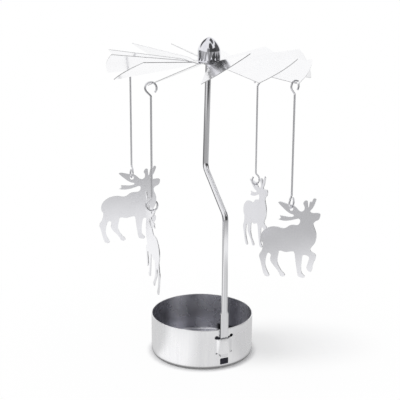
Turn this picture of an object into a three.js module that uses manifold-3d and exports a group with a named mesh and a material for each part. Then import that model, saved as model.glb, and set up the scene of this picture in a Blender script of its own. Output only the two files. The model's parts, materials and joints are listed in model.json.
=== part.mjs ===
// Candle carousel: a drawn cup for a tealight, a bent rod clipped to its wall, and on the
// rod's needle a rotor of twelve twisted blades that carries four reindeer on wire hooks.
// Millimetres and degrees, +Z up, origin at the centre of the cup's underside.
// The clip faces -Y. Bearings are counted from -Y towards +X, seen from above.
import * as THREE from 'three';
import { mergeVertices } from 'three/addons/utils/BufferGeometryUtils.js';
import Module from 'manifold-3d';

const wasm = await Module();
wasm.setup();

// Cup
const cupRadius = 27.5;
const cupHeight = 22.1;
const cupWall = 0.5;
const cupCornerRadius = 2.2;
const cupSides = 80;
const cornerSteps = 4;

// Belt loop that is lanced out of the cup's wall, and the window under it
const loopTop = 17.9;
const loopBottom = 8.7;
const loopLeft = 3.75;
const loopRight = 4.75;
const slitWidth = 0.3;
const topReliefRadius = 1.1;
const lowReliefRadius = 0.5;
const reliefSides = 16;
const strapSkinShare = 0.04;
const loopFarShare = 0.8;
const windowAcross = 0.6;
const windowWidth = 4.8;
const windowTop = 5.9;
const windowBottom = 2.3;

// Rod
const rodRadius = 1.6;
const rodSides = 14;
const rodBendRadius = 5.5;
const rodBendSteps = 6;
const lowerBendHeight = 83.5;
const upperBendAcross = 1.0;
const upperBendBack = 1.4;
const upperBendHeight = 103.2;
const rodEndBelowPoint = 6.6;

// Flattened foot of the rod
const tongueWidth = 4.6;
const tongueThickness = 1.0;
const tongueTop = 31.0;
const tongueStart = 32.4;
const tongueFoot = 7.0;
const tongueCorner = 0.8;
const tongueSquareness = 0.45;
const wedgeSquareness = 0.8;
const clipGap = 0.2;

// Needle
const needleRadius = 0.6;
const needlePointLength = 2.4;
const needleDepth = 4.0;
const needleSides = 16;
const needleGap = 0.15;

// Needle point, where the rotor turns
const pointAcross = 2.74;
const pointBack = 1.23;
const pointHeight = 170.1;

// Rotor sheet
const bladeCount = 12;
const rotorRadius = 52.3;
const hubRadius = 8.4;
const hubBoreRadius = 5.0;
const sheetThickness = 0.35;
const slitGap = 0.5;
const twistLength = 5.0;
const bladeColumns = 4;
const rotorDrop = 12.3;
const rotorBearing = -14.3;

// Each blade is bent by hand: its pitch, how far its tip stands above the hub, and how far
// it is skewed in degrees
const bladePitches = [31, 20.5, 19.5, 26.5, 25, 32, 23.5, 28, 25, 26.5, 23.5, 24];
const bladeLifts = [3, 0.8, -2.2, -1.4, -2, -6.6, -1, 0, -0.2, 0, -0.6, -0.3];
const bladeSkews = [-1.7, 0, -1.1, 0, 0, -1.4, 0, 0, -0.7, 0, 0, -0.2];
const twistRowShares = [0.2, 0.4, 0.6, 0.8, 1];

// Bearing cap
const capRadius = 5.8;
const capStraight = 5.4;
const capCrownShare = 1.25;
const capWall = 0.4;
const capNeckRadius = 4.85;
const capLipRadius = 5.5;
const capSides = 40;
const capCrownSteps = 8;
const seatGap = 0.12;
const pointGap = 0.12;

// Hooks
const wireRadius = 0.5;
const wireSides = 8;
const hookRingRadius = 2.7;
const hookNeckAngle = 45;
const hookOpenAngle = 132;
const hookArcSteps = 11;
const neckBendRadius = 1.2;
const neckBendSteps = 3;
const hookHoleRadius = 1.1;
const hookHoleInset = 1.9;
const hookHoleSides = 20;
const hangGap = 0.2;
const hookBlades = [11, 2, 5, 8];
const hookNames = ['front_left', 'front_right', 'back_right', 'back_left'];
const hookBearings = [245.8, -70.2, 103.8, 145.8];

// The hooks are bent by hand: each has its own length from ring to ring, and its lower ring
// is turned in degrees against the upper one
const hookSpans = [57.0, 58.3, 58.0, 57.4];
const hookTurns = [0, 17, 0, 0];

// Reindeer, stamped from sheet
const deerLength = 33.2;
const deerHeight = 45.4;
const deerThickness = 0.5;
const deerHoleRadius = 1.1;
const deerHoleSides = 16;
const deerBearings = [170.8, 35.2, -1.8, 72.8];

// Degrees that each figure's nose hangs above level
const deerTilts = [0, 0, 3.5, -2.4];
const deerSplineShare = 1.4;

const up = new THREE.Vector3(0, 0, 1);
const overcut = 1.0;

const polished = { color: 0xd6d7da, roughness: 0.16, metalness: 1.0 };
const satin = { color: 0xbcbcc2, roughness: 0.4, metalness: 1.0 };
const hardened = { color: 0x9a9ba0, roughness: 0.3, metalness: 1.0 };

function radians(degrees) {
  return THREE.MathUtils.degToRad(degrees);
}

// Horizontal unit vector at a bearing from -Y towards +X
function towards(bearing) {
  return new THREE.Vector3(Math.sin(radians(bearing)), -Math.cos(radians(bearing)), 0);
}

function makeMesh(name, geometry, look) {
  const mesh = new THREE.Mesh(geometry, new THREE.MeshStandardMaterial(look));
  mesh.name = name;
  return mesh;
}

function toSolid(geometry) {
  const bare = geometry.index ? geometry.toNonIndexed() : geometry.clone();
  bare.deleteAttribute('normal');
  bare.deleteAttribute('uv');
  const merged = mergeVertices(bare);
  return new wasm.Manifold(new wasm.Mesh({
    numProp: 3,
    vertProperties: new Float32Array(merged.attributes.position.array),
    triVerts: new Uint32Array(merged.index.array),
  }));
}

function toGeometry(solid) {
  const made = solid.getMesh();
  const geometry = new THREE.BufferGeometry();
  geometry.setAttribute('position', new THREE.BufferAttribute(new Float32Array(made.vertProperties), 3));
  geometry.setIndex(new THREE.BufferAttribute(new Uint32Array(made.triVerts), 1));
  geometry.computeVertexNormals();
  return geometry;
}

// Closed skin over a row of rings that all have the same number of points
function loft(rings) {
  const count = rings[0].length;
  const points = rings.flat();
  const faces = [];
  for (let row = 0; row + 1 < rings.length; row += 1) {
    for (let i = 0; i < count; i += 1) {
      const next = (i + 1) % count;
      const a = row * count + i;
      const b = row * count + next;
      faces.push(a, b, b + count, a, b + count, a + count);
    }
  }
  const last = (rings.length - 1) * count;
  for (let i = 1; i + 1 < count; i += 1) {
    faces.push(0, i + 1, i);
    faces.push(last, last + i, last + i + 1);
  }
  const geometry = new THREE.BufferGeometry();
  geometry.setFromPoints(points);
  geometry.setIndex(faces);
  return geometry;
}

// Plan of a wire or rod: straight runs with a round bend at each inner point
function bentPath(corners, bendRadius, bendSteps) {
  const path = [{ at: corners[0].clone(), along: corners[1].clone().sub(corners[0]).normalize() }];
  for (let i = 1; i + 1 < corners.length; i += 1) {
    const before = corners[i].clone().sub(corners[i - 1]).normalize();
    const after = corners[i + 1].clone().sub(corners[i]).normalize();
    const turn = before.angleTo(after);
    const setback = bendRadius * Math.tan(turn / 2);
    const axis = before.clone().cross(after).normalize();
    const start = corners[i].clone().addScaledVector(before, -setback);
    const inward = axis.clone().cross(before);
    const centre = start.clone().addScaledVector(inward, bendRadius);
    for (let step = 0; step <= bendSteps; step += 1) {
      const angle = turn * step / bendSteps;
      const at = start.clone().sub(centre).applyAxisAngle(axis, angle).add(centre);
      path.push({ at, along: before.clone().applyAxisAngle(axis, angle) });
    }
  }
  const end = corners[corners.length - 1];
  const past = corners[corners.length - 2];
  path.push({ at: end.clone(), along: end.clone().sub(past).normalize() });
  return path;
}

// Curve that steps from one station of such a plan to the next
class StationCurve extends THREE.Curve {
  constructor(stations) {
    super();
    this.stations = stations;
  }

  between(share, key) {
    const place = share * (this.stations.length - 1);
    const index = Math.min(Math.floor(place), this.stations.length - 2);
    return this.stations[index][key].clone().lerp(this.stations[index + 1][key], place - index);
  }

  getPoint(share) {
    return this.between(share, 'at');
  }

  getPointAt(share) {
    return this.between(share, 'at');
  }

  getTangentAt(share) {
    return this.between(share, 'along').normalize();
  }
}

function wireAlong(stations, radius, sides) {
  const section = new THREE.Shape();
  for (let i = 0; i < sides; i += 1) {
    const angle = 2 * Math.PI * (i + 0.5) / sides;
    const x = radius * Math.cos(angle);
    const y = radius * Math.sin(angle);
    if (i === 0) section.moveTo(x, y);
    else section.lineTo(x, y);
  }
  section.closePath();
  const settings = { steps: stations.length - 1, extrudePath: new StationCurve(stations), bevelEnabled: false };
  return new THREE.ExtrudeGeometry(section, settings);
}

// Upright cylinder or one that lies along Y, for cutting
function drill(radius, length, sides, at, lying) {
  const cutter = new THREE.CylinderGeometry(radius, radius, length, sides);
  if (!lying) cutter.rotateX(Math.PI / 2);
  cutter.translate(at.x, at.y, at.z);
  return toSolid(cutter);
}

function block(low, high) {
  const size = high.clone().sub(low);
  const middle = high.clone().add(low).multiplyScalar(1 / 2);
  const box = new THREE.BoxGeometry(size.x, size.y, size.z);
  box.translate(middle.x, middle.y, middle.z);
  return toSolid(box);
}

const tongueReach = cupRadius + clipGap + tongueThickness / 2;
const loopInside = tongueReach + tongueThickness / 2 + clipGap;

function cupShell() {
  const profile = [new THREE.Vector2(0, 0)];
  for (let i = 0; i <= cornerSteps; i += 1) {
    const angle = (Math.PI / 2) * i / cornerSteps;
    const x = cupRadius - cupCornerRadius + cupCornerRadius * Math.sin(angle);
    profile.push(new THREE.Vector2(x, cupCornerRadius * (1 - Math.cos(angle))));
  }
  profile.push(new THREE.Vector2(cupRadius, cupHeight));
  profile.push(new THREE.Vector2(cupRadius - cupWall, cupHeight));
  const inner = cupCornerRadius - cupWall;
  for (let i = cornerSteps; i >= 0; i -= 1) {
    const angle = (Math.PI / 2) * i / cornerSteps;
    const x = cupRadius - cupCornerRadius + inner * Math.sin(angle);
    profile.push(new THREE.Vector2(x, cupCornerRadius - inner * Math.cos(angle)));
  }
  profile.push(new THREE.Vector2(0, cupWall));
  const shell = new THREE.LatheGeometry(profile, cupSides);
  shell.rotateX(Math.PI / 2);
  return toSolid(shell);
}

// Strap of the wall, pushed outwards so that the rod's foot passes behind it
function loopStrap() {
  const shape = new THREE.Shape();
  const flat = tongueWidth / 2 + clipGap;
  const skin = cupWall * strapSkinShare;
  const wallAt = (x) => -Math.sqrt(cupRadius ** 2 - x ** 2) + skin;
  const left = -loopLeft - cupWall;
  const right = loopRight + cupWall;
  const thin = cupWall - 2 * skin;
  shape.moveTo(left, wallAt(left));
  shape.lineTo(-loopLeft, wallAt(loopLeft));
  shape.lineTo(-flat, -loopInside - cupWall);
  shape.lineTo(flat, -loopInside - cupWall);
  shape.lineTo(loopRight, wallAt(loopRight));
  shape.lineTo(right, wallAt(right));
  shape.lineTo(right, wallAt(right) + thin);
  shape.lineTo(loopRight - cupWall / 2, wallAt(right) + thin);
  shape.lineTo(flat, -loopInside);
  shape.lineTo(-flat, -loopInside);
  shape.lineTo(-loopLeft + cupWall / 2, wallAt(left) + thin);
  shape.lineTo(left, wallAt(left) + thin);
  shape.closePath();
  const depth = loopTop - loopBottom - 2 * slitWidth;
  const strap = new THREE.ExtrudeGeometry(shape, { depth, bevelEnabled: false });
  strap.translate(0, 0, loopBottom + slitWidth);
  return toSolid(strap);
}

function baseCup() {
  const nearWall = -loopInside - overcut;
  const farWall = -cupRadius * loopFarShare;
  let cup = cupShell();
  cup = cup.subtract(block(
    new THREE.Vector3(-loopLeft, nearWall, loopBottom),
    new THREE.Vector3(loopRight, farWall, loopTop),
  ));
  cup = cup.add(loopStrap());
  const cutLength = farWall - nearWall;
  for (const end of [-loopLeft, loopRight]) {
    const top = new THREE.Vector3(end, (nearWall + farWall) / 2, loopTop - slitWidth / 2);
    const low = new THREE.Vector3(end, (nearWall + farWall) / 2, loopBottom + slitWidth / 2);
    cup = cup.subtract(drill(topReliefRadius, cutLength, reliefSides, top, true));
    cup = cup.subtract(drill(lowReliefRadius, cutLength, reliefSides, low, true));
  }
  cup = cup.subtract(block(
    new THREE.Vector3(windowAcross - windowWidth / 2, nearWall, windowBottom),
    new THREE.Vector3(windowAcross + windowWidth / 2, farWall, windowTop),
  ));
  return makeMesh('base_cup', toGeometry(cup), satin);
}

const rotorPoint = new THREE.Vector3(pointAcross, -pointBack, pointHeight);

// Ring of points around a station of the rod, round or pressed flat
function rodRing(at, along, halfWidth, halfThickness, corner) {
  const side = new THREE.Vector3(1, 0, 0);
  const inward = along.clone().cross(side).normalize();
  const across = inward.clone().cross(along).normalize();
  const ring = [];
  for (let i = 0; i < rodSides; i += 1) {
    const angle = 2 * Math.PI * (i + 0.5) / rodSides;
    const c = Math.cos(angle);
    const s = Math.sin(angle);
    const x = Math.sign(c) * Math.abs(c) ** corner * halfWidth;
    const y = Math.sign(s) * Math.abs(s) ** corner * halfThickness;
    ring.push(at.clone().addScaledVector(across, x).addScaledVector(inward, y));
  }
  return ring;
}

function standRod() {
  const foot = new THREE.Vector3(0, -tongueReach, tongueFoot);
  const top = rotorPoint.clone();
  const upper = new THREE.Vector3(upperBendAcross, -upperBendBack, upperBendHeight);
  top.addScaledVector(rotorPoint.clone().sub(upper).normalize(), -rodEndBelowPoint);
  const corners = [foot, new THREE.Vector3(0, -tongueReach, lowerBendHeight), upper, top];
  const stations = bentPath(corners, rodBendRadius, rodBendSteps);
  const halfFlat = tongueWidth / 2;
  const half = tongueThickness / 2;
  const wedgeHalf = (halfFlat + rodRadius) / 2;
  const wedgeThick = (half + rodRadius) / 2;
  const lift = (height) => new THREE.Vector3(0, -tongueReach, height);
  const rings = [
    rodRing(lift(tongueFoot), up, halfFlat - tongueCorner, half, tongueSquareness),
    rodRing(lift(tongueFoot + tongueCorner), up, halfFlat, half, tongueSquareness),
    rodRing(lift(tongueTop), up, halfFlat, half, tongueSquareness),
    rodRing(lift((tongueTop + tongueStart) / 2), up, wedgeHalf, wedgeThick, wedgeSquareness),
    rodRing(lift(tongueStart), up, rodRadius, rodRadius, 1),
  ];
  for (const station of stations.slice(1)) {
    rings.push(rodRing(station.at, station.along, rodRadius, rodRadius, 1));
  }
  const bore = new THREE.CylinderGeometry(
    needleRadius + needleGap, needleRadius + needleGap, needleDepth + needleGap + overcut, needleSides);
  bore.translate(0, -(needleDepth + needleGap) / 2 + overcut / 2, 0);
  const lean = new THREE.Quaternion().setFromUnitVectors(
    new THREE.Vector3(0, 1, 0), stations[stations.length - 1].along);
  bore.applyQuaternion(lean);
  bore.translate(top.x, top.y, top.z);
  const rod = toSolid(loft(rings)).subtract(toSolid(bore));
  return { mesh: makeMesh('stand_rod', toGeometry(rod), polished), end: top, lean };
}

function pivotNeedle(end, lean) {
  const shank = rodEndBelowPoint - needlePointLength;
  const profile = [
    new THREE.Vector2(0, -needleDepth),
    new THREE.Vector2(needleRadius, -needleDepth),
    new THREE.Vector2(needleRadius, shank),
    new THREE.Vector2(0, shank + needlePointLength),
  ];
  const needle = new THREE.LatheGeometry(profile, needleSides);
  needle.applyQuaternion(lean);
  needle.translate(end.x, end.y, end.z);
  return makeMesh('pivot_needle', needle, hardened);
}

// Heights of the rotor and its cap, counted from the needle's point
const diskHeight = -rotorDrop;
const capFoot = diskHeight + sheetThickness / 2 + seatGap;
const capTop = capWall + pointGap;

function bearingCap() {
  const lipTop = diskHeight - sheetThickness / 2 - seatGap;
  const shoulder = capFoot + capStraight;
  const crown = capTop - shoulder;
  const innerRadius = capRadius - capWall;
  const neckBore = capNeckRadius - capWall;
  const inside = [];
  const outside = [];
  for (let i = 0; i <= capCrownSteps; i += 1) {
    const angle = (Math.PI / 2) * i / capCrownSteps;
    const across = i < capCrownSteps ? Math.cos(angle) ** capCrownShare : 0;
    const rise = Math.sin(angle) ** capCrownShare;
    inside.unshift(new THREE.Vector2(innerRadius * across, shoulder + (crown - capWall) * rise));
    outside.push(new THREE.Vector2(capRadius * across, shoulder + crown * rise));
  }
  const profile = [
    ...inside,
    new THREE.Vector2(innerRadius, capFoot + capWall),
    new THREE.Vector2(neckBore, capFoot + capWall),
    new THREE.Vector2(neckBore, lipTop - capWall),
    new THREE.Vector2(capLipRadius, lipTop - capWall),
    new THREE.Vector2(capLipRadius, lipTop),
    new THREE.Vector2(capNeckRadius, lipTop),
    new THREE.Vector2(capNeckRadius, capFoot),
    new THREE.Vector2(capRadius, capFoot),
    ...outside,
  ];
  const cap = new THREE.LatheGeometry(profile, capSides);
  cap.rotateX(Math.PI / 2);
  return makeMesh('bearing_cap', cap, polished);
}

function bladeBearing(index) {
  return rotorBearing + index * 360 / bladeCount;
}

// Share of the full pitch that a blade has reached at a radius
function twistAt(radius) {
  return THREE.MathUtils.smoothstep(radius, hubRadius, hubRadius + twistLength);
}

// Point of a blade: radius and bearing in the flat disk, and height above its mid plane
function bladePoint(index, radius, sideAngle, height) {
  const pitch = radians(bladePitches[index % bladePitches.length]) * twistAt(radius);
  const skew = bladeSkews[index % bladeSkews.length] * twistAt(radius);
  const out = towards(bladeBearing(index) + skew);
  const across = new THREE.Vector3(-out.y, out.x, 0);
  const flatAcross = radius * Math.sin(sideAngle);
  const lift = bladeLifts[index % bladeLifts.length] * (radius - hubRadius) / (rotorRadius - hubRadius);
  const point = out.multiplyScalar(radius * Math.cos(sideAngle));
  point.addScaledVector(across, flatAcross * Math.cos(pitch) - height * Math.sin(pitch));
  point.z = diskHeight + lift + flatAcross * Math.sin(pitch) + height * Math.cos(pitch);
  return point;
}

// Bearing of a blade's edge from its middle line, in the flat disk
function edgeAngle(radius) {
  return Math.PI / bladeCount - Math.asin(slitGap / 2 / radius);
}

const bladeRows = [hubRadius];
for (const share of twistRowShares) {
  bladeRows.push(hubRadius + twistLength * share);
}
bladeRows.push((hubRadius + twistLength + rotorRadius) / 2);
bladeRows.push(rotorRadius);

// Skin of one side of the whole sheet, as rows of points from the bore outwards
function sheetPoint(index, row, column, height) {
  if (row < 0) {
    const turn = radians(bladeBearing(index)) + edgeAngle(hubRadius) * (2 * column / bladeColumns - 1);
    const point = new THREE.Vector3(Math.sin(turn), -Math.cos(turn), 0).multiplyScalar(hubBoreRadius);
    point.z = diskHeight + height;
    return point;
  }
  const radius = bladeRows[row];
  return bladePoint(index, radius, edgeAngle(radius) * (2 * column / bladeColumns - 1), height);
}

function rotorSheet() {
  const points = [];
  const half = sheetThickness / 2;
  const quad = (a, b, c, d) => points.push(a, b, c, a, c, d);
  const lastRow = bladeRows.length - 1;
  for (let index = 0; index < bladeCount; index += 1) {
    for (let row = -1; row < lastRow; row += 1) {
      for (let column = 0; column < bladeColumns; column += 1) {
        const topFace = [[row, column], [row + 1, column], [row + 1, column + 1], [row, column + 1]];
        quad(...topFace.map(([r, c]) => sheetPoint(index, r, c, half)));
        quad(...topFace.reverse().map(([r, c]) => sheetPoint(index, r, c, -half)));
      }
      if (row >= 0) {
        for (const [column, flip] of [[0, false], [bladeColumns, true]]) {
          const edge = [
            sheetPoint(index, row, column, -half), sheetPoint(index, row + 1, column, -half),
            sheetPoint(index, row + 1, column, half), sheetPoint(index, row, column, half),
          ];
          quad(...(flip ? edge.reverse() : edge));
        }
      }
    }
    for (let column = 0; column < bladeColumns; column += 1) {
      quad(
        sheetPoint(index, lastRow, column, -half), sheetPoint(index, lastRow, column + 1, -half),
        sheetPoint(index, lastRow, column + 1, half), sheetPoint(index, lastRow, column, half),
      );
      quad(
        sheetPoint(index, -1, column + 1, -half), sheetPoint(index, -1, column, -half),
        sheetPoint(index, -1, column, half), sheetPoint(index, -1, column + 1, half),
      );
    }
    // Hub between this blade and the next, where the slit ends
    const next = (index + 1) % bladeCount;
    const bridge = (height) => [
      sheetPoint(index, -1, bladeColumns, height), sheetPoint(index, 0, bladeColumns, height),
      sheetPoint(next, 0, 0, height), sheetPoint(next, -1, 0, height),
    ];
    const top = bridge(half);
    const bottom = bridge(-half);
    quad(...top);
    quad(bottom[3], bottom[2], bottom[1], bottom[0]);
    quad(bottom[1], bottom[2], top[2], top[1]);
    quad(bottom[3], bottom[0], top[0], top[3]);
  }
  const sheet = new THREE.BufferGeometry();
  sheet.setFromPoints(points);
  return toSolid(sheet);
}

// Place of a hook's hole: in from the blade's low edge and from its tip
const holeRadiusPlace = rotorRadius - hookHoleInset;
const holeAngle = -(edgeAngle(holeRadiusPlace) - hookHoleInset / holeRadiusPlace);

function rotor() {
  let sheet = rotorSheet();
  for (const blade of hookBlades) {
    const at = bladePoint(blade, holeRadiusPlace, holeAngle, 0);
    const normal = bladePoint(blade, holeRadiusPlace, holeAngle, 1).sub(at);
    const cutter = new THREE.CylinderGeometry(hookHoleRadius, hookHoleRadius, 2 * overcut, hookHoleSides);
    cutter.applyQuaternion(new THREE.Quaternion().setFromUnitVectors(new THREE.Vector3(0, 1, 0), normal));
    cutter.translate(at.x, at.y, at.z);
    sheet = sheet.subtract(toSolid(cutter));
  }
  return makeMesh('rotor', toGeometry(sheet), polished);
}

// Height of a hook's ring centre under the edge of the hole that carries it
const ringDrop = hookRingRadius - wireRadius - hangGap;

// Hook in its own plane: X points away from the openings, Z up, zero at the upper ring's centre
function hookStations(span, turn) {
  const arc = (from, to, centreZ) => {
    const part = [];
    for (let i = 0; i <= hookArcSteps; i += 1) {
      const angle = radians(from + (to - from) * i / hookArcSteps);
      const way = Math.sign(to - from);
      const at = new THREE.Vector3(Math.cos(angle), 0, Math.sin(angle)).multiplyScalar(hookRingRadius);
      at.z += centreZ;
      part.push({ at, along: new THREE.Vector3(-Math.sin(angle), 0, Math.cos(angle)).multiplyScalar(way) });
    }
    return part;
  };
  const bend = hookRingRadius / Math.cos(radians(hookNeckAngle));
  const upper = arc(360 - hookOpenAngle, -hookNeckAngle, 0);
  const lower = arc(hookNeckAngle, hookOpenAngle - 360, -span);
  for (const station of lower) {
    station.at.applyAxisAngle(up, radians(turn));
    station.along.applyAxisAngle(up, radians(turn));
  }
  const neck = bentPath([
    upper[upper.length - 1].at,
    new THREE.Vector3(0, 0, -bend),
    new THREE.Vector3(0, 0, bend - span),
    lower[0].at,
  ], neckBendRadius, neckBendSteps);
  return [...upper, ...neck.slice(1, -1), ...lower];
}

// Reindeer outline about the hook's hole, nose towards +X: shares of its length and height.
// Each row is one smooth stretch and starts where the last one ends.
const deerShares = [
  [[0.324, 0.019], [0.31, -0.004], [0.365, -0.01], [0.42, -0.002], [0.465, -0.004], [0.475, -0.022],
    [0.47, -0.056], [0.45, -0.08], [0.41, -0.096]],
  [[0.41, -0.096], [0.38, -0.116], [0.373, -0.145], [0.39, -0.18], [0.418, -0.225], [0.425, -0.29],
    [0.41, -0.34], [0.38, -0.378], [0.345, -0.41], [0.335, -0.44]],
  [[0.335, -0.44], [0.36, -0.456], [0.405, -0.466], [0.43, -0.49], [0.425, -0.527], [0.4, -0.565],
    [0.38, -0.615], [0.372, -0.66], [0.35, -0.69], [0.318, -0.685], [0.28, -0.653]],
  [[0.28, -0.653], [0.297, -0.6], [0.318, -0.55], [0.318, -0.52], [0.285, -0.508], [0.243, -0.504],
    [0.21, -0.517]],
  [[0.21, -0.517], [0.198, -0.565], [0.192, -0.62], [0.192, -0.67], [0.2, -0.71], [0.22, -0.73],
    [0.255, -0.747]],
  [[0.255, -0.747], [0.25, -0.772], [0.2, -0.776], [0.155, -0.768], [0.138, -0.745], [0.127, -0.71],
    [0.11, -0.65], [0.097, -0.593], [0.086, -0.54], [0.076, -0.503], [0.058, -0.487]],
  [[0.058, -0.487], [0, -0.495], [-0.05, -0.509], [-0.1, -0.511], [-0.15, -0.503], [-0.188, -0.512]],
  [[-0.188, -0.512], [-0.197, -0.555], [-0.207, -0.6], [-0.208, -0.645], [-0.19, -0.68],
    [-0.16, -0.714], [-0.124, -0.745], [-0.09, -0.762], [-0.072, -0.784]],
  [[-0.072, -0.784], [-0.097, -0.804], [-0.148, -0.803], [-0.17, -0.775], [-0.2, -0.742],
    [-0.245, -0.71], [-0.29, -0.678], [-0.325, -0.645], [-0.332, -0.61], [-0.32, -0.584],
    [-0.332, -0.562], [-0.362, -0.553], [-0.388, -0.573]],
  [[-0.388, -0.573], [-0.406, -0.617], [-0.415, -0.666], [-0.411, -0.714], [-0.39, -0.754],
    [-0.363, -0.788], [-0.34, -0.817]],
  [[-0.34, -0.817], [-0.36, -0.84], [-0.413, -0.836], [-0.443, -0.802], [-0.46, -0.767],
    [-0.478, -0.72], [-0.5, -0.662], [-0.524, -0.615], [-0.512, -0.58], [-0.488, -0.555],
    [-0.467, -0.514], [-0.46, -0.477], [-0.466, -0.447]],
  [[-0.466, -0.447], [-0.492, -0.426], [-0.5, -0.385], [-0.49, -0.342], [-0.463, -0.308],
    [-0.42, -0.28], [-0.365, -0.253], [-0.297, -0.236], [-0.213, -0.231], [-0.145, -0.239],
    [-0.095, -0.234], [-0.054, -0.214], [-0.013, -0.191], [0.036, -0.179], [0.103, -0.177],
    [0.14, -0.159], [0.155, -0.13], [0.149, -0.108], [0.124, -0.1]],
  [[0.124, -0.1], [0.067, -0.115], [0, -0.133], [-0.082, -0.148], [-0.15, -0.151], [-0.211, -0.144]],
  [[-0.211, -0.144], [-0.175, -0.131], [-0.167, -0.118], [-0.187, -0.097]],
  [[-0.187, -0.097], [-0.13, -0.096], [-0.05, -0.098], [0.016, -0.091], [0.046, -0.079],
    [0.039, -0.064], [-0.011, -0.058], [-0.07, -0.037], [-0.13, -0.006], [-0.19, 0.028],
    [-0.22, 0.051]],
  [[-0.22, 0.051], [-0.19, 0.063], [-0.132, 0.058], [-0.073, 0.049], [-0.02, 0.046], [0.03, 0.043],
    [0.068, 0.03], [0.105, 0.006], [0.14, -0.012], [0.175, -0.014], [0.202, -0.004], [0.222, 0.022],
    [0.216, 0.05], [0.195, 0.077]],
  [[0.195, 0.077], [0.21, 0.106], [0.241, 0.12], [0.264, 0.11], [0.269, 0.07], [0.279, 0.034]],
  [[0.279, 0.034], [0.294, 0.062], [0.299, 0.105], [0.318, 0.114], [0.335, 0.108], [0.35, 0.14],
    [0.37, 0.158]],
  [[0.37, 0.158], [0.401, 0.149], [0.396, 0.122], [0.377, 0.08], [0.352, 0.044], [0.324, 0.019]],
];

function deerGeometry() {
  const outline = [];
  for (const stretch of deerShares) {
    const points = stretch.map(([x, y]) => new THREE.Vector2(x * deerLength, y * deerHeight));
    const curve = new THREE.SplineCurve(points);
    const steps = Math.round((points.length - 1) * deerSplineShare);
    outline.push(...curve.getPoints(steps).slice(0, -1));
  }
  const shape = new THREE.Shape(outline);
  const hole = [];
  for (let i = 0; i < deerHoleSides; i += 1) {
    const angle = 2 * Math.PI * i / deerHoleSides;
    hole.push(new THREE.Vector2(Math.cos(angle), Math.sin(angle)).multiplyScalar(deerHoleRadius));
  }
  shape.holes.push(new THREE.Path(hole));
  const plate = new THREE.ExtrudeGeometry(shape, { depth: deerThickness, bevelEnabled: false });
  plate.translate(0, 0, -deerThickness / 2);
  return plate;
}

const carousel = new THREE.Group();
const rod = standRod();
carousel.add(baseCup(), rod.mesh, pivotNeedle(rod.end, rod.lean));

const spinner = new THREE.Group();
spinner.position.copy(rotorPoint);
spinner.add(bearingCap(), rotor());
carousel.add(spinner);

hookBlades.forEach((blade, i) => {
  const hole = bladePoint(blade, holeRadiusPlace, holeAngle, 0);
  const normal = bladePoint(blade, holeRadiusPlace, holeAngle, 1).sub(hole);
  hole.add(rotorPoint);
  const outward = towards(hookBearings[i]);
  const planeNormal = outward.clone().cross(up);
  const slope = normal.clone().cross(planeNormal).normalize();
  if (slope.dot(outward) < 0) slope.negate();
  const rise = planeNormal.clone().cross(slope);
  if (rise.z < 0) rise.negate();
  const ringCentre = hole.addScaledVector(slope, hookHoleRadius).addScaledVector(rise, sheetThickness / 2);
  ringCentre.z -= ringDrop;
  const wire = wireAlong(hookStations(hookSpans[i], hookTurns[i]), wireRadius, wireSides);
  const hook = makeMesh(`hook_${hookNames[i]}`, wire, polished);
  hook.quaternion.setFromRotationMatrix(
    new THREE.Matrix4().makeBasis(outward, up.clone().cross(outward), up));
  hook.position.copy(ringCentre);
  carousel.add(hook);

  const nose = towards(deerBearings[i]);
  const ringFoot = ringCentre.clone();
  ringFoot.z -= hookSpans[i] + hookRingRadius;
  const plate = deerGeometry();
  plate.rotateZ(radians(deerTilts[i]));
  const deer = makeMesh(`reindeer_${hookNames[i]}`, plate, satin);
  deer.quaternion.setFromRotationMatrix(new THREE.Matrix4().makeBasis(nose, up, nose.clone().cross(up)));
  deer.position.copy(ringFoot);
  deer.position.z -= deerHoleRadius - wireRadius - hangGap;
  carousel.add(deer);
});

export default carousel;
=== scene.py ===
import bmesh
import bpy
import json
from math import acos, cos, pi, radians, sin, tan
from mathutils import Euler, Matrix, Vector


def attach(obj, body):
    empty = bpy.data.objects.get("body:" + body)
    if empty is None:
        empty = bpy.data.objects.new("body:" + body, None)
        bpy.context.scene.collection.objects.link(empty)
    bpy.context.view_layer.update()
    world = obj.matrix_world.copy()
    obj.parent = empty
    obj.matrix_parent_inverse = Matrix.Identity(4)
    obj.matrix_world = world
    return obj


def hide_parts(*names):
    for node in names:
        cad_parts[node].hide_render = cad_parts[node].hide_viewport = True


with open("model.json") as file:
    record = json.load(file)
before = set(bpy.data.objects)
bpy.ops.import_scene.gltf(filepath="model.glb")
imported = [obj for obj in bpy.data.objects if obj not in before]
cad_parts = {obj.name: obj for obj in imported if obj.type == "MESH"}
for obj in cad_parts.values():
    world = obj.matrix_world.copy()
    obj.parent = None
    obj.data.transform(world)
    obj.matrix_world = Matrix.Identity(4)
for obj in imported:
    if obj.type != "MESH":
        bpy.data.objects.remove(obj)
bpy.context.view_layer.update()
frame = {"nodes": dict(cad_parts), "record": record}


# The cup
# It is drawn from one round of steel sheet, and its satin skin is left bright.
# It stands on its flat floor, holds the tealight, and carries the clip in its wall.

mm = 0.001
cup_radius = 27.5 * mm
cup_height = 22.1 * mm
cup_wall = 0.5 * mm
cup_corner = 2.2 * mm
loop_top = 17.9 * mm
loop_bottom = 8.7 * mm
loop_left = -3.75 * mm
loop_right = 4.75 * mm
slit = 0.3 * mm
top_relief_radius = 1.1 * mm
low_relief_radius = 0.5 * mm
rod_line = -28.2 * mm
tongue_half_width = 2.3 * mm
tongue_half_thickness = 0.5 * mm
clip_gap = 0.2 * mm
window_across = 0.6 * mm
window_width = 4.8 * mm
window_middle = 4.1 * mm
window_height = 3.6 * mm
window_corner = 0.5 * mm
strap_edge = 0.12 * mm
cut_depth = 5 * mm
tolerance = 0.001 * mm


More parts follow.
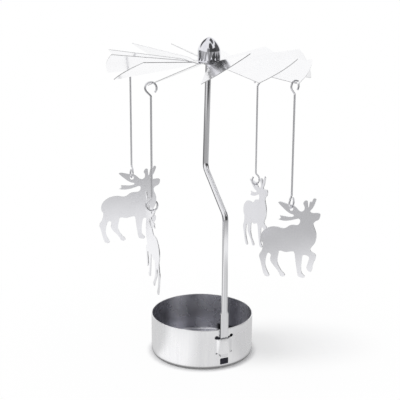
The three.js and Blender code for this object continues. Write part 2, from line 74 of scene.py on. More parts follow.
def deselect():
    if bpy.context.object and bpy.context.object.mode == "EDIT":
        bpy.ops.object.mode_set(mode="OBJECT")
    bpy.ops.object.select_all(action="DESELECT")


def only(piece):
    deselect()
    piece.select_set(True)
    bpy.context.view_layer.objects.active = piece


def edit(piece):
    only(piece)
    bpy.ops.object.mode_set(mode="EDIT")


def name_piece(name):
    piece = bpy.context.object
    piece.name = name
    piece.data.name = name
    return piece


def settle(piece):
    """Keeps the piece where it is, with its origin at the frame's and no turn or scale left."""
    only(piece)
    bpy.ops.object.transform_apply(location=True, rotation=True, scale=True)


def twin(piece, name):
    copy = piece.copy()
    copy.data = piece.data.copy()
    copy.name = name
    copy.parent = None
    bpy.context.collection.objects.link(copy)
    return copy


def pick_all(piece):
    edit(piece)
    bpy.ops.mesh.select_all(action="SELECT")


def move_end(way):
    """Draws the selected points out along the given way."""
    bpy.ops.mesh.extrude_region_move(TRANSFORM_OT_translate={"value": way})


def pick(piece, test):
    """In edit mode, selects the points that the test allows."""
    work = bmesh.from_edit_mesh(piece.data)
    work.select_mode = {"VERT"}
    for face in work.faces:
        face.select = False
    for edge in work.edges:
        edge.select = False
    for point in work.verts:
        point.select = bool(test(point.co))
    work.select_flush_mode()
    bmesh.update_edit_mesh(piece.data)


def grow_rings(profile, start=0):
    """Draws the selected round out ring by ring, to each radius and height of the profile."""
    radius, height = profile[start]
    for next_radius, next_height in profile[start + 1:]:
        move_end((0, 0, next_height - height))
        scale = next_radius / radius
        bpy.ops.transform.resize(value=(scale, scale, 1), center_override=(0, 0, next_height))
        radius, height = next_radius, next_height


def outward(piece):
    """Joins points that meet, and turns every face outwards."""
    pick_all(piece)
    bpy.ops.mesh.remove_doubles(threshold=tolerance)
    bpy.ops.mesh.normals_make_consistent(inside=False)
    bpy.ops.object.mode_set(mode="OBJECT")


def apply_all(piece):
    only(piece)
    for modifier in list(piece.modifiers):
        bpy.ops.object.modifier_apply(modifier=modifier.name)


def smooth(piece, angle=35):
    only(piece)
    bpy.ops.object.shade_smooth_by_angle(angle=radians(angle))


def soften_edges(piece, width, segments=2, angle=40):
    bevel = piece.modifiers.new("soft edges", "BEVEL")
    bevel.width = width
    bevel.segments = segments
    bevel.limit_method = "ANGLE"
    bevel.angle_limit = radians(angle)
    apply_all(piece)


def cut_away(piece, cutter, operation="DIFFERENCE"):
    cut = piece.modifiers.new("cut", "BOOLEAN")
    cut.operation = operation
    cut.object = cutter
    cut.solver = "EXACT"
    apply_all(piece)
    bpy.data.objects.remove(cutter)


def arc_points(centre_radius, centre_height, size, start, end, steps):
    points = []
    for i in range(steps + 1):
        angle = radians(start + (end - start) * i / steps)
        points.append((centre_radius + size * cos(angle), centre_height + size * sin(angle)))
    return points


rim = cup_wall / 2
inner_corner = cup_corner - cup_wall
cup_profile = arc_points(cup_radius - cup_corner, cup_corner, cup_corner, -90, 0, 10)
cup_profile += arc_points(cup_radius - rim, cup_height - rim, rim, 0, 180, 8)
cup_profile += arc_points(cup_radius - cup_corner, cup_corner, inner_corner, 0, -90, 8)

deselect()
bpy.ops.mesh.primitive_circle_add(
    vertices=192, radius=cup_profile[0][0], fill_type="NGON", location=(0, 0, cup_profile[0][1]),
    rotation=(0, 0, pi / 192))
cup = name_piece("drawn_cup")
settle(cup)
pick_all(cup)
grow_rings(cup_profile)
outward(cup)

# The wall between the slits is cut free, with round holes that keep its corners from tearing
deselect()
bpy.ops.mesh.primitive_cube_add(
    size=1, location=((loop_left + loop_right) / 2, rod_line, (loop_top + loop_bottom) / 2),
    scale=(loop_right - loop_left, cut_depth, loop_top - loop_bottom))
cut_away(cup, name_piece("clip_opening"))
deselect()
bpy.ops.mesh.primitive_cube_add(
    size=1, location=(window_across, rod_line, window_middle),
    scale=(window_width, cut_depth, window_height))
window = name_piece("window")
settle(window)
soften_edges(window, window_corner, 3)
cut_away(cup, window)
smooth(cup, 30)

# The strap that is left is pressed outwards, and the rod's foot passes behind it.
# Its plan is the middle line of the sheet, seen from above.
strap_inside = rod_line - tongue_half_thickness - clip_gap
strap_plan = [
    (loop_left - 0.35 * mm, -27.0 * mm),
    (loop_left, -27.08 * mm),
    (-3.4 * mm, -27.45 * mm),
    (-2.8 * mm, strap_inside + 0.15 * mm),
    (-2.4 * mm, strap_inside - 0.17 * mm),
    (-1.9 * mm, strap_inside - 0.25 * mm),
    (1.9 * mm, strap_inside - 0.25 * mm),
    (2.5 * mm, strap_inside - 0.17 * mm),
    (3.1 * mm, strap_inside + 0.25 * mm),
    (4.1 * mm, -27.4 * mm),
    (loop_right, -26.95 * mm),
    (loop_right + 0.35 * mm, -26.85 * mm),
]
strap_height = loop_top - loop_bottom - 2 * slit
deselect()
bpy.ops.mesh.primitive_plane_add(size=strap_height, rotation=(radians(90), 0, 0))
strap = name_piece("pressed_strap")
settle(strap)
edit(strap)
pick(strap, lambda at: at.x < 0)
bpy.ops.mesh.delete(type="VERT")
pick(strap, lambda at: True)
start = Vector((strap_plan[0][0], strap_plan[0][1], (loop_top + loop_bottom) / 2))
bpy.ops.transform.translate(value=start - Vector((strap_height / 2, 0, 0)))
for before, after in zip(strap_plan, strap_plan[1:]):
    move_end((after[0] - before[0], after[1] - before[1], 0))
bpy.ops.object.mode_set(mode="OBJECT")
thick = strap.modifiers.new("thickness", "SOLIDIFY")
thick.thickness = cup_wall
thick.offset = 0
apply_all(strap)
outward(strap)
soften_edges(strap, strap_edge, 2)
smooth(strap)


def colour(code):
    """The linear colour of a six-figure screen colour."""
    parts = [int(code[i:i + 2], 16) / 255 for i in (0, 2, 4)]
    linear = [p / 12.92 if p <= 0.04045 else ((p + 0.055) / 1.055) ** 2.4 for p in parts]
    return (*linear, 1)


def add(tree, kind, inputs, **settings):
    """Adds a node with its settings, and joins each input to a socket or gives it a value."""
    node = tree.nodes.new(kind)
    for key, value in settings.items():
        setattr(node, key, value)
    for key, source in inputs.items():
        if isinstance(source, bpy.types.NodeSocket):
            tree.links.new(source, node.inputs[key])
        else:
            node.inputs[key].default_value = source
    return node


def metal(name, roughness, metallic=1.0):
    """A plain metal with its shader, and the place of each point on the piece."""
    material = bpy.data.materials.new(name)
    material.use_nodes = True
    tree = material.node_tree
    shader = tree.nodes["Principled BSDF"]
    shader.inputs["Metallic"].default_value = metallic
    shader.inputs["Roughness"].default_value = roughness
    place = add(tree, "ShaderNodeTexCoord", {}).outputs["Object"]
    return material, tree, shader, place


def give(piece, *materials):
    piece.data.materials.clear()
    for material in materials:
        piece.data.materials.append(material)


def clouds(tree, place, count, detail=3.0, rough=0.5, stretch=(1, 1, 1)):
    """Uneven marks: how many lie in a length, and along which ways they are drawn out."""
    drawn = add(tree, "ShaderNodeMapping", {"Vector": place, "Scale": stretch})
    noise = add(tree, "ShaderNodeTexNoise", {
        "Vector": drawn.outputs["Vector"], "Scale": count, "Detail": detail, "Roughness": rough})
    return noise.outputs["Fac"]


def streaks(tree, place, count, stretch):
    """Lines that a tool leaves along one way, drawn coarser than real ones so that they show."""
    return clouds(tree, place, count, 6.0, 0.6, stretch)


# Nearly all of a cloud's values lie between these
cloud_low = 0.3
cloud_high = 0.7


def finish(tree, shader, tint, haze, dents=None):
    """Gives a metal its tint from dark to light, its haze from bright to dull, and its dents."""
    pattern, dark, light = tint
    ramp = add(tree, "ShaderNodeValToRGB", {"Fac": pattern})
    for stop, where, code in zip(ramp.color_ramp.elements, (cloud_low, cloud_high), (dark, light)):
        stop.position = where
        stop.color = colour(code)
    tree.links.new(ramp.outputs["Color"], shader.inputs["Base Color"])
    pattern, bright, dull = haze
    spread = add(tree, "ShaderNodeMapRange", {
        "Value": pattern, "From Min": cloud_low, "From Max": cloud_high,
        "To Min": bright, "To Max": dull})
    tree.links.new(spread.outputs["Result"], shader.inputs["Roughness"])
    if dents:
        pattern, depth, strength = dents
        bump = add(tree, "ShaderNodeBump", {
            "Height": pattern, "Distance": depth, "Strength": strength})
        tree.links.new(bump.outputs["Normal"], shader.inputs["Normal"])
    return ramp.outputs["Color"]


def drawn_satin_steel():
    """Deep drawing leaves fine marks up the wall and a soft satin sheen."""
    material, tree, shader, place = metal("drawn_satin_steel", 0.3)
    lines = streaks(tree, place, 0.9 / mm, (1, 1, 0.06))
    haze = clouds(tree, place, 0.09 / mm)
    finish(tree, shader, (lines, "f5f5f7", "fcfcfd"), (haze, 0.24, 0.3), (lines, 0.002 * mm, 0.4))
    return material


def share_within(tree, *limits, share=1.0):
    """How much of the share is left inside all the limits, each with its soft start and end."""
    for value, start, end in limits:
        step = add(tree, "ShaderNodeMapRange", {
            "Value": value, "From Min": start, "From Max": end, "To Max": share},
            interpolation_type="SMOOTHSTEP")
        share = step.outputs["Result"]
    return share


# Where round the wall, as a share of a turn from -X, and how bright the painted reflection band is
# there
painted_reflection_bands = [
    (0.05, 0.6), (0.16, 0.2), (0.3, 0.7), (0.42, 0.3), (0.5, 0.6), (0.57, 0), (0.603, 0.4),
    (0.632, 0.4), (0.675, 0.7), (0.714, 0.2), (0.766, 1), (0.82, 0.1), (0.86, 0), (0.95, 0.4),
]


def painted_shade_inside_steel():
    """The cup's steel made darker inside as painted shade, with painted reflections in upright
    bands, and painted shade low at the front and in one low patch.
    """
    # Less metal shine and greyed reflections make the inside darker than the outside: painted shade
    material, tree, shader, place = metal("painted_shade_inside_steel", 0.3, 0.86)
    shader.inputs["Specular Tint"].default_value = colour("b4b4ba")
    lines = streaks(tree, place, 0.5 / mm, (1, 1, 0.05))
    haze = clouds(tree, place, 0.12 / mm)
    bright_band_tint = finish(
        tree, shader, (lines, "f4f4fb", "fcfcff"), (haze, 0.24, 0.29), (lines, 0.004 * mm, 0.4))
    # Upright bands of painted reflection, from dark grey to the bright tint, set round the wall by
    # turn
    turn = add(tree, "ShaderNodeTexGradient", {"Vector": place}, gradient_type="RADIAL")
    turn = turn.outputs["Fac"]
    bands = add(tree, "ShaderNodeValToRGB", {"Fac": turn})
    bands.color_ramp.interpolation = "EASE"
    for where, tone in painted_reflection_bands:
        bands.color_ramp.elements.new(where).color = (tone, tone, tone, 1)
    painted_band_colour = add(tree, "ShaderNodeMix", {
        "Factor": bands.outputs["Color"], 6: colour("a8a8b0"), 7: bright_band_tint}, data_type="RGBA")
    # Painted shade: dark low down at the front of the inside, and in one low patch round the wall
    spots = add(tree, "ShaderNodeSeparateXYZ", {0: place}).outputs
    front = share_within(tree, (spots["Z"], 3 * mm, 0.8 * mm), (spots["Y"], 0, -7 * mm))
    corner = share_within(tree, (turn, 0.52, 0.57), (turn, 0.637, 0.622),
                          (spots["Z"], 5.2 * mm, 4.2 * mm))
    painted_inside_shade = add(tree, "ShaderNodeMath", {0: front, 1: corner}, operation="MAXIMUM")
    painted_inside_shade = add(tree, "ShaderNodeMix", {
        "Factor": painted_inside_shade.outputs[0], 6: painted_band_colour.outputs[2], 7: colour("38383c")},
        data_type="RGBA")
    tree.links.new(painted_inside_shade.outputs[2], shader.inputs["Base Color"])
    return material


satin = drawn_satin_steel()
give(cup, satin, painted_shade_inside_steel())
for face in cup.data.polygons:
    faces_in = face.normal.xy.dot(face.center.xy) < tolerance
    within = face.center.xy.length < cup_radius - rim and rim < face.center.z < cup_height - rim
    face.material_index = 1 if faces_in and within else 0
give(strap, satin)
reliefs = [(loop_bottom + slit / 2, low_relief_radius), (loop_top - slit / 2, top_relief_radius)]
for loop_end in (loop_left, loop_right):
    for height, size in reliefs:
        for piece in (cup, strap):
            deselect()
            bpy.ops.mesh.primitive_cylinder_add(
                vertices=32, radius=size, depth=cut_depth,
                location=(loop_end, rod_line, height), rotation=(radians(90), 0, 0))
            cut_away(piece, name_piece("relief_hole"))
deselect()
strap.select_set(True)
cup.select_set(True)
bpy.context.view_layer.objects.active = cup
bpy.ops.object.join()
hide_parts("base_cup")
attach(cup, "stand")


# The stand rod
# It is a polished round steel rod with two bends that bring its top over the cup.
# Its foot is pressed flat, and it slides down behind the strap and is held there.

rod_radius = 1.6 * mm
rod_bend = 5.5 * mm
lower_bend = Vector((0, rod_line, 83.5 * mm))
upper_bend = Vector((1.0 * mm, -1.4 * mm, 103.2 * mm))
needle_point = Vector((2.74 * mm, -1.23 * mm, 170.1 * mm))
rod_top = needle_point - (needle_point - upper_bend).normalized() * 6.6 * mm
tongue_foot = 7.0 * mm
tongue_top = 31.0 * mm
round_start = 32.4 * mm
foot_taper = 0.9 * mm
foot_tip = 0.3 * mm
foot_narrowing = (0.9, 1, 1)
tip_narrowing = (0.8, 0.7, 1)
foot_edge = 0.15 * mm
close = 0.01 * mm


def run_bend(piece, at, before, after, bend, steps):
    """Bends the open end, which is at the bend's start, from one way to another."""
    turn = acos(max(-1, min(1, before.dot(after))))
    axis = before.cross(after).normalized()
    centre = at + axis.cross(before) * bend
    for i in range(steps):
        move_end((0, 0, 0))
        turn_picked(piece, centre, axis, turn / steps)
    return centre + Matrix.Rotation(turn, 3, axis) @ (at - centre)


def turn_picked(piece, centre, axis, angle):
    """Turns the selected points about a line, in edit mode."""
    work = bmesh.from_edit_mesh(piece.data)
    turning = [point for point in work.verts if point.select]
    bmesh.ops.rotate(work, cent=centre, matrix=Matrix.Rotation(angle, 3, axis), verts=turning)
    bmesh.update_edit_mesh(piece.data)


def run_along(piece, corners, bend, steps):
    """Draws the open end through the corners, with a round bend at each inner one."""
    at = corners[0]
    for i in range(1, len(corners) - 1):
        before = (corners[i] - corners[i - 1]).normalized()
        after = (corners[i + 1] - corners[i]).normalized()
        setback = bend * tan(acos(before.dot(after)) / 2)
        start = corners[i] - before * setback
        move_end(start - at)
        at = run_bend(piece, start, before, after, bend, steps)
    move_end(corners[-1] - at)


deselect()
bpy.ops.mesh.primitive_circle_add(
    vertices=40, radius=rod_radius, fill_type="NGON", location=(0, rod_line, round_start))
rod = name_piece("bent_rod")
settle(rod)
pick_all(rod)
move_end((0, 0, tongue_top - round_start))


def press_flat(piece, height):
    """Squeezes the ring at this height to the tongue's width and thickness."""
    pick(piece, lambda at: abs(at.z - height) < close)
    centre = (0, rod_line, height)
    bpy.ops.transform.resize(value=(tongue_half_width / rod_radius, 1, 1), center_override=centre)
    for side in (-1, 1):
        face_line = rod_line + side * tongue_half_thickness
        pick(piece, lambda at: abs(at.z - height) < close and (at.y - face_line) * side > 0)
        bpy.ops.transform.resize(value=(1, 0, 1), center_override=(0, face_line, height))
    pick(piece, lambda at: abs(at.z - height) < close)


press_flat(rod, tongue_top)
move_end((0, 0, tongue_foot + foot_taper - tongue_top))
move_end((0, 0, foot_tip - foot_taper))
bpy.ops.transform.resize(value=foot_narrowing, center_override=(0, rod_line, tongue_foot))
move_end((0, 0, -foot_tip))
bpy.ops.transform.resize(value=tip_narrowing, center_override=(0, rod_line, tongue_foot))
pick(rod, lambda at: abs(at.z - round_start) < close)
rod_start = Vector((0, rod_line, round_start))
run_along(rod, [rod_start, lower_bend, upper_bend, rod_top], rod_bend, 14)
outward(rod)

# The face that the first ring started from lies inside the rod, so it goes
edit(rod)
work = bmesh.from_edit_mesh(rod.data)
inner_faces = [face for face in work.faces if len(face.verts) > 8
               and abs(face.calc_center_median().z - round_start) < close]
bmesh.ops.delete(work, geom=inner_faces, context="FACES_ONLY")
bmesh.update_edit_mesh(rod.data)
bpy.ops.object.mode_set(mode="OBJECT")
soften_edges(rod, foot_edge, 3, 60)
smooth(rod, 40)


def polished_rod_steel():
    """Polishing leaves hair lines that run along the rod."""
    material, tree, shader, place = metal("polished_rod_steel", 0.1)
    hairs = streaks(tree, place, 2.6 / mm, (1, 1, 0.02))
    haze = clouds(tree, place, 0.16 / mm)
    finish(tree, shader, (hairs, "e4e4e7", "efeff1"), (haze, 0.07, 0.14), (hairs, 0.002 * mm, 0.4))
    return material


def painted_shade_foot_side():
    """The foot's sides are rougher and painted dark, as painted shade for the gap and shadow beside
    the tongue.
    """
    material, tree, shader, place = metal("painted_shade_foot_side", 0.5)
    grain = clouds(tree, place, 1.8 / mm)
    finish(tree, shader, (grain, "2c2c30", "45454a"), (grain, 0.45, 0.6), (grain, 0.01 * mm, 0.5))
    return material


give(rod, polished_rod_steel(), painted_shade_foot_side())
# The foot's narrow sides take the painted shade
pressed_top = tongue_top + 0.1 * mm
for face in rod.data.polygons:
    beside = abs(face.normal.x) > 0.6 and tongue_foot < face.center.z < pressed_top
    face.material_index = 1 if beside else 0
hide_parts("stand_rod")
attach(rod, "stand")


# The pivot needle
# It is a short hardened steel pin, ground to a point and pressed into the rod's top.
# The whole rotor hangs on its point with hardly any rub.


def ground_needle_steel():
    """Grinding leaves fine rings round the point."""
    material, tree, shader, place = metal("ground_needle_steel", 0.3)
    rings = streaks(tree, place, 5 / mm, (0.05, 0.05, 1))
    finish(tree, shader, (rings, "88898d", "a5a6aa"), (rings, 0.25, 0.4))
    return material


give(frame["nodes"]["pivot_needle"], ground_needle_steel())


# The bearing cap
# It is a bullet of brass, pressed thin and chromed like a mirror; a neck under it goes
# through the rotor's hub and is crimped below it, so the two turn together.

cap_radius = 5.8 * mm
cap_wall = 0.4 * mm
cap_gap = 0.12 * mm
cap_corner = 0.2 * mm
crown_curve = 1.25
crown_steps = 24
inner_steps = 16
neck = 4.85 * mm
lip_radius = 5.5 * mm
sheet = 0.35 * mm
disk_height = needle_point.z - 12.3 * mm
seat = disk_height + sheet / 2 + cap_gap
shoulder = seat + 5.4 * mm
crown = needle_point.z + cap_gap + cap_wall - shoulder
lip_top = disk_height - sheet / 2 - cap_gap
inner_radius = cap_radius - cap_wall
neck_bore = neck - cap_wall

# The profile runs down the hollow's inside, round the crimped lip and up over the crown
lip = cap_wall / 2
cap_profile = []
for i in range(1, inner_steps + 1):
    angle = radians(90 - 90 * i / inner_steps)
    cap_profile.append((inner_radius * cos(angle) ** crown_curve,
                        shoulder + (crown - cap_wall) * sin(angle) ** crown_curve))
cap_profile += [(inner_radius, seat + cap_wall), (neck_bore, seat + cap_wall)]
cap_profile += [(neck_bore, lip_top - cap_wall)]
cap_profile += arc_points(lip_radius - lip, lip_top - lip, lip, -90, 90, 6)
cap_profile += [(neck, lip_top), (neck, seat)]
cap_profile += arc_points(cap_radius - cap_corner, seat + cap_corner, cap_corner, -90, 0, 4)
for i in range(crown_steps):
    angle = radians(90 * i / crown_steps)
    cap_profile.append((cap_radius * cos(angle) ** crown_curve,
                        shoulder + crown * sin(angle) ** crown_curve))
deselect()
bpy.ops.mesh.primitive_circle_add(
    vertices=96, radius=cap_profile[0][0], fill_type="NGON", location=(0, 0, cap_profile[0][1]))
cap = name_piece("chromed_cap")
settle(cap)
pick_all(cap)
grow_rings(cap_profile)
move_end((0, 0, shoulder + crown - cap_profile[-1][1]))
bpy.ops.mesh.merge(type="CENTER")
outward(cap)
smooth(cap, 40)
cap.location = (needle_point.x, needle_point.y, 0)
settle(cap)


def mirror_chrome():
    """Bright chrome over a buffed pressing, with the faint waves of the buffing wheel."""
    material, tree, shader, place = metal("mirror_chrome", 0.05)
    waves = clouds(tree, place, 0.26 / mm, 2.0)
    smears = streaks(tree, place, 0.7 / mm, (1, 1, 0.3))
    finish(
        tree, shader, (smears, "dcdce2", "e9e9ee"), (smears, 0.03, 0.08), (waves, 0.05 * mm, 0.35))
    return material


give(cap, mirror_chrome())
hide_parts("bearing_cap")
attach(cap, "carousel")


# The rotor
# It is one round of thin mirror-bright sheet, slit into twelve blades that are each
# twisted by hand out of the flat, so warm air from the flame turns it.

rotor_radius = 52.3 * mm
hub_radius = 8.4 * mm
blade_count = 12
columns = 14
sector = 360 / blade_count
middle = Vector((0, 0, 0))
upright = Vector((0, 0, 1))
slit_half = 0.25 * mm
twist_length = 5.0 * mm
row_reach = 0.1 * mm
rotor_bearing = -14.3

# Each blade's twist in degrees, its tip's rise in millimetres, and its skew in degrees
pitches = [31, 20.5, 19.5, 26.5, 25, 32, 23.5, 28, 25, 26.5, 23.5, 24]
lifts = [3, 0.8, -2.2, -1.4, -2, -6.6, -1, 0, -0.2, 0, -0.6, -0.3]
skews = [-1.7, 0, -1.1, 0, 0, -1.4, 0, 0, -0.7, 0, 0, -0.2]

# The distance of each row of points from the middle in millimetres, closer where it is twisted
blade_rows = [5.0, 5.8, 6.7, 7.6, 8.4, 8.6, 8.9, 9.3, 9.8, 10.3, 10.9, 11.5, 12.1, 12.7, 13.4,
              16, 20, 25, 30, 35, 40, 45, 49, 51.4, 52.3]

deselect()
bpy.ops.mesh.primitive_grid_add(x_subdivisions=len(blade_rows) - 1, y_subdivisions=1, size=1)
blade = name_piece("flat_blade")
edit(blade)
pick(blade, lambda at: at.y > 0)
bpy.ops.mesh.delete(type="VERT")
work = bmesh.from_edit_mesh(blade.data)
for point, radius in zip(sorted(work.verts, key=lambda v: v.co.x), blade_rows):
    point.co = (radius * mm, 0, 0)
bmesh.update_edit_mesh(blade.data)
bpy.ops.mesh.select_all(action="SELECT")
turn_picked(blade, middle, upright, radians(-sector / 2))
for i in range(columns):
    move_end((0, 0, 0))
    turn_picked(blade, middle, upright, radians(sector / columns))
for side in (-1, 1):
    edge_way = Vector((cos(radians(sector / 2)), side * sin(radians(sector / 2)), 0))
    inward = Vector((edge_way.y, -edge_way.x, 0)) * side
    pick(blade, lambda at: abs(at.dot(inward)) < tolerance and at.length > hub_radius + row_reach)
    bpy.ops.transform.translate(value=inward * slit_half)
bpy.ops.object.mode_set(mode="OBJECT")


def eased(value):
    value = max(0.0, min(1.0, value))
    return value * value * (3 - 2 * value)


blades = []
for number in range(blade_count):
    copy = twin(blade, "twisted_blade")
    edit(copy)
    for radius in blade_rows:
        if radius * mm <= hub_radius:
            continue
        work = bmesh.from_edit_mesh(copy.data)
        for point in work.verts:
            in_row = abs(point.co.xy.length - radius * mm) < row_reach
            untwisted = abs(point.co.z) < tolerance / 1000
            point.select = in_row and untwisted
        reached = eased((radius * mm - hub_radius) / twist_length)
        turn_picked(copy, middle, Vector((1, 0, 0)), radians(pitches[number]) * reached)
        turn_picked(copy, middle, upright, radians(skews[number]) * reached)
        work = bmesh.from_edit_mesh(copy.data)
        share = (radius * mm - hub_radius) / (rotor_radius - hub_radius)
        for point in work.verts:
            if point.select:
                point.co.z += lifts[number] * mm * share
                point.select = False
        bmesh.update_edit_mesh(copy.data)
    bpy.ops.object.mode_set(mode="OBJECT")
    copy.rotation_euler = (0, 0, radians(rotor_bearing + number * sector - 90))
    settle(copy)
    blades.append(copy)
bpy.data.objects.remove(blade)
deselect()
for copy in blades:
    copy.select_set(True)
bpy.context.view_layer.objects.active = blades[0]
bpy.ops.object.join()
rotor = name_piece("bladed_rotor")
pick_all(rotor)
bpy.ops.mesh.remove_doubles(threshold=2 * tolerance)
bpy.ops.object.mode_set(mode="OBJECT")
rotor.location = (needle_point.x, needle_point.y, disk_height)
settle(rotor)
pick_all(rotor)
bpy.ops.mesh.normals_make_consistent(inside=False)
bpy.ops.object.mode_set(mode="OBJECT")
if sum(face.normal.z for face in rotor.data.polygons) < 0:
    pick_all(rotor)
    bpy.ops.mesh.flip_normals()
    bpy.ops.object.mode_set(mode="OBJECT")
thick = rotor.modifiers.new("thickness", "SOLIDIFY")
thick.thickness = sheet
thick.offset = 0
thick.use_even_offset = True
thick.material_offset_rim = 1


def mirror_sheet():
    """Bright rolled sheet: it mirrors softly, with faint roll lines and finger smears."""
    material, tree, shader, place = metal("mirror_bright_sheet", 0.12)
    smears = clouds(tree, place, 0.07 / mm, 4.0)
    lines = streaks(tree, place, 1.5 / mm, (1, 0.03, 1))
    finish(tree, shader, (lines, "f6f6f8", "fcfcfd"), (smears, 0.09, 0.17), (smears, 0.06 * mm, 0.2))
    return material


def sheared_edge():
    """The punch leaves the sheet's edge torn and duller than its faces."""
    material, tree, shader, place = metal("sheared_edge", 0.45)
    tears = clouds(tree, place, 2.5 / mm, 4.0)
    finish(tree, shader, (tears, "ececef", "fafafb"), (tears, 0.35, 0.55), (tears, 0.02 * mm, 0.5))
    return material


edge_steel = sheared_edge()
give(rotor, mirror_sheet(), edge_steel)
apply_all(rotor)

joints = {joint["name"]: joint for joint in frame["record"]["behaviour"]["joints"]}
hook_places = ["front_left", "front_right", "back_right", "back_left"]
hook_blades = [11, 2, 5, 8]
hole_radius = 1.1 * mm
hole_inset = 1.9 * mm
drill_length = 2 * mm
for number in hook_blades:
    radius = rotor_radius - hole_inset
    half = pi / blade_count - slit_half / radius
    side = -(half - hole_inset / radius)
    pitch = radians(pitches[number])
    lift = lifts[number] * mm * (radius - hub_radius) / (rotor_radius - hub_radius)
    flat = radius * sin(side)
    at = Vector((radius * cos(side), flat * cos(pitch), flat * sin(pitch) + lift))
    turn = Matrix.Rotation(radians(rotor_bearing + number * sector + skews[number] - 90), 3, "Z")
    deselect()
    bpy.ops.mesh.primitive_cylinder_add(
        vertices=40, radius=hole_radius, depth=drill_length,
        location=turn @ at + Vector((needle_point.x, needle_point.y, disk_height)),
        rotation=(turn @ Matrix.Rotation(pitch, 3, "X")).to_euler())
    cut_away(rotor, name_piece("hook_hole"))
smooth(rotor, 30)
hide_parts("rotor")
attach(rotor, "carousel")


# The hooks
# Each is a length of bright drawn wire, bent at both ends into an open ring. The upper ring
# hangs in the hole of a blade, and the lower one goes through a figure's antler.

wire = 0.5 * mm
ring = 2.7 * mm
span = 57.4 * mm
neck_bend = 1.2 * mm
wire_end_edge = 0.12 * mm
ring_steps = 40
hook_drop = 2.0 * mm

# Where the upper ring's free end and its neck stand, in degrees round the ring from +X
free_end = 228
neck_end = -45
neck_reach = ring / cos(radians(neck_end))

# Each hook's own length from ring to ring in millimetres, and its lower ring's turn in degrees
hook_spans = [57.0, 58.3, 58.0, 57.4]
hook_turns = [0, 17, 0, 0]


def ring_run(piece, centre, start, end):
    """Bends the open end round a ring that stands in the plane of X and Z."""
    for i in range(ring_steps):
        move_end((0, 0, 0))
        turn_picked(piece, centre, Vector((0, -1, 0)), radians((end - start) / ring_steps))


deselect()
start = radians(free_end)
bpy.ops.mesh.primitive_circle_add(
    vertices=18, radius=wire, fill_type="NGON",
    location=(ring * cos(start), 0, ring * sin(start)), rotation=(0, -start, 0))
hook = name_piece("wire_hook")
settle(hook)
pick_all(hook)
ring_run(hook, middle, free_end, neck_end)
shaft_top = Vector((0, 0, -neck_reach))
shaft_foot = Vector((0, 0, neck_reach - span))
ring_end = Vector((ring * cos(radians(neck_end)), 0, ring * sin(radians(neck_end))))
ring_start = Vector((ring_end.x, 0, -ring_end.z - span))
run_along(hook, [ring_end, shaft_top, shaft_foot, ring_start], neck_bend, 6)
ring_run(hook, Vector((0, 0, -span)), -neck_end, -free_end)
outward(hook)
soften_edges(hook, wire_end_edge, 2, 60)
smooth(hook, 40)


def drawn_wire():
    """Wire drawing leaves lines along it and a bright grey skin."""
    material, tree, shader, place = metal("bright_drawn_wire", 0.25)
    lines = streaks(tree, place, 4 / mm, (1, 1, 0.03))
    finish(tree, shader, (lines, "e2e2e6", "f0f0f3"), (lines, 0.2, 0.32), (lines, 0.003 * mm, 0.4))
    return material


wire_metal = drawn_wire()
for place_name, own_span, own_turn in zip(hook_places, hook_spans, hook_turns):
    joint = joints[place_name + "_hook_swing"]
    axis = Vector(joint["axis"])
    copy = twin(hook, "wire_hook_" + place_name)
    edit(copy)
    pick(copy, lambda at: at.z < -span / 2)
    bpy.ops.transform.translate(value=(0, 0, span - own_span * mm))
    turn_picked(copy, middle, upright, radians(own_turn))
    bpy.ops.object.mode_set(mode="OBJECT")
    copy.data.transform(Matrix.Rotation(-Vector((1, 0)).angle_signed(axis.xy), 4, "Z"))
    copy.data.transform(Matrix.Translation(Vector(joint["pos_m"]) - Vector((0, 0, hook_drop))))
    give(copy, wire_metal)
    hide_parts("hook_" + place_name)
    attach(copy, place_name + "_hook")
bpy.data.objects.remove(hook)


# The reindeer
# Each is stamped from satin steel sheet, with a round hole through its back antler.
# It hangs from the hook's lower ring and turns and swings freely there. One gets a darker copy of
# the sheet, as painted shade.


def satin_sheet(name, dark, light):
    """Cold rolled sheet with a satin grain that runs along the figure."""
    material, tree, shader, place = metal(name, 0.24)
    grain = clouds(tree, place, 1.4 / mm, 5.0, 0.7)
    haze = clouds(tree, place, 0.11 / mm)
    finish(tree, shader, (grain, dark, light), (haze, 0.15, 0.2), (grain, 0.004 * mm, 0.5))
    return material


stamped_edge = 0.06 * mm
figure_metal = satin_sheet("satin_steel_sheet", "ececf0", "f4f4f7")
# A darker copy of the same sheet, as painted shade on the back right figure
shaded_figure_metal = satin_sheet("painted_shade_steel_sheet", "d8d8dc", "e2e2e6")
for place_name in hook_places:
    figure = twin(frame["nodes"]["reindeer_" + place_name], "stamped_reindeer_" + place_name)
    figure.matrix_world = Matrix.Identity(4)
    pick_all(figure)
    bpy.ops.mesh.remove_doubles(threshold=tolerance)
    bpy.ops.mesh.dissolve_limited(angle_limit=radians(1))
    bpy.ops.object.mode_set(mode="OBJECT")
    give(figure, shaded_figure_metal if place_name == "back_right" else figure_metal, edge_steel)
    facing = Vector(joints[place_name + "_reindeer_swing"]["axis"])
    for face in figure.data.polygons:
        face.material_index = 0 if abs(face.normal.dot(facing)) > 0.5 else 1
    soften_edges(figure, stamped_edge, 2, 60)
    smooth(figure, 25)
    for face in figure.data.polygons:
        face.use_smooth = abs(face.normal.dot(facing)) < 0.99
    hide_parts("reindeer_" + place_name)
    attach(figure, place_name + "_reindeer")


# The floor, the light and the camera
# A plain pale sweep under soft studio light, seen from a little above.
# The camera's place, turn, tilt, roll and lens were fitted to the cup, rod and figures.

view_turn = radians(-24.2)
view_down = radians(15.13)
view_roll = radians(0.26)
view_place = (-0.2012, -0.4445, 0.2170)
view_lens = 85.98
film_width = 36
paper_size = 6
paper_drop = 0.02 * mm
ahead = Vector((-sin(view_turn), cos(view_turn), 0))
aside = Vector((cos(view_turn), sin(view_turn), 0))

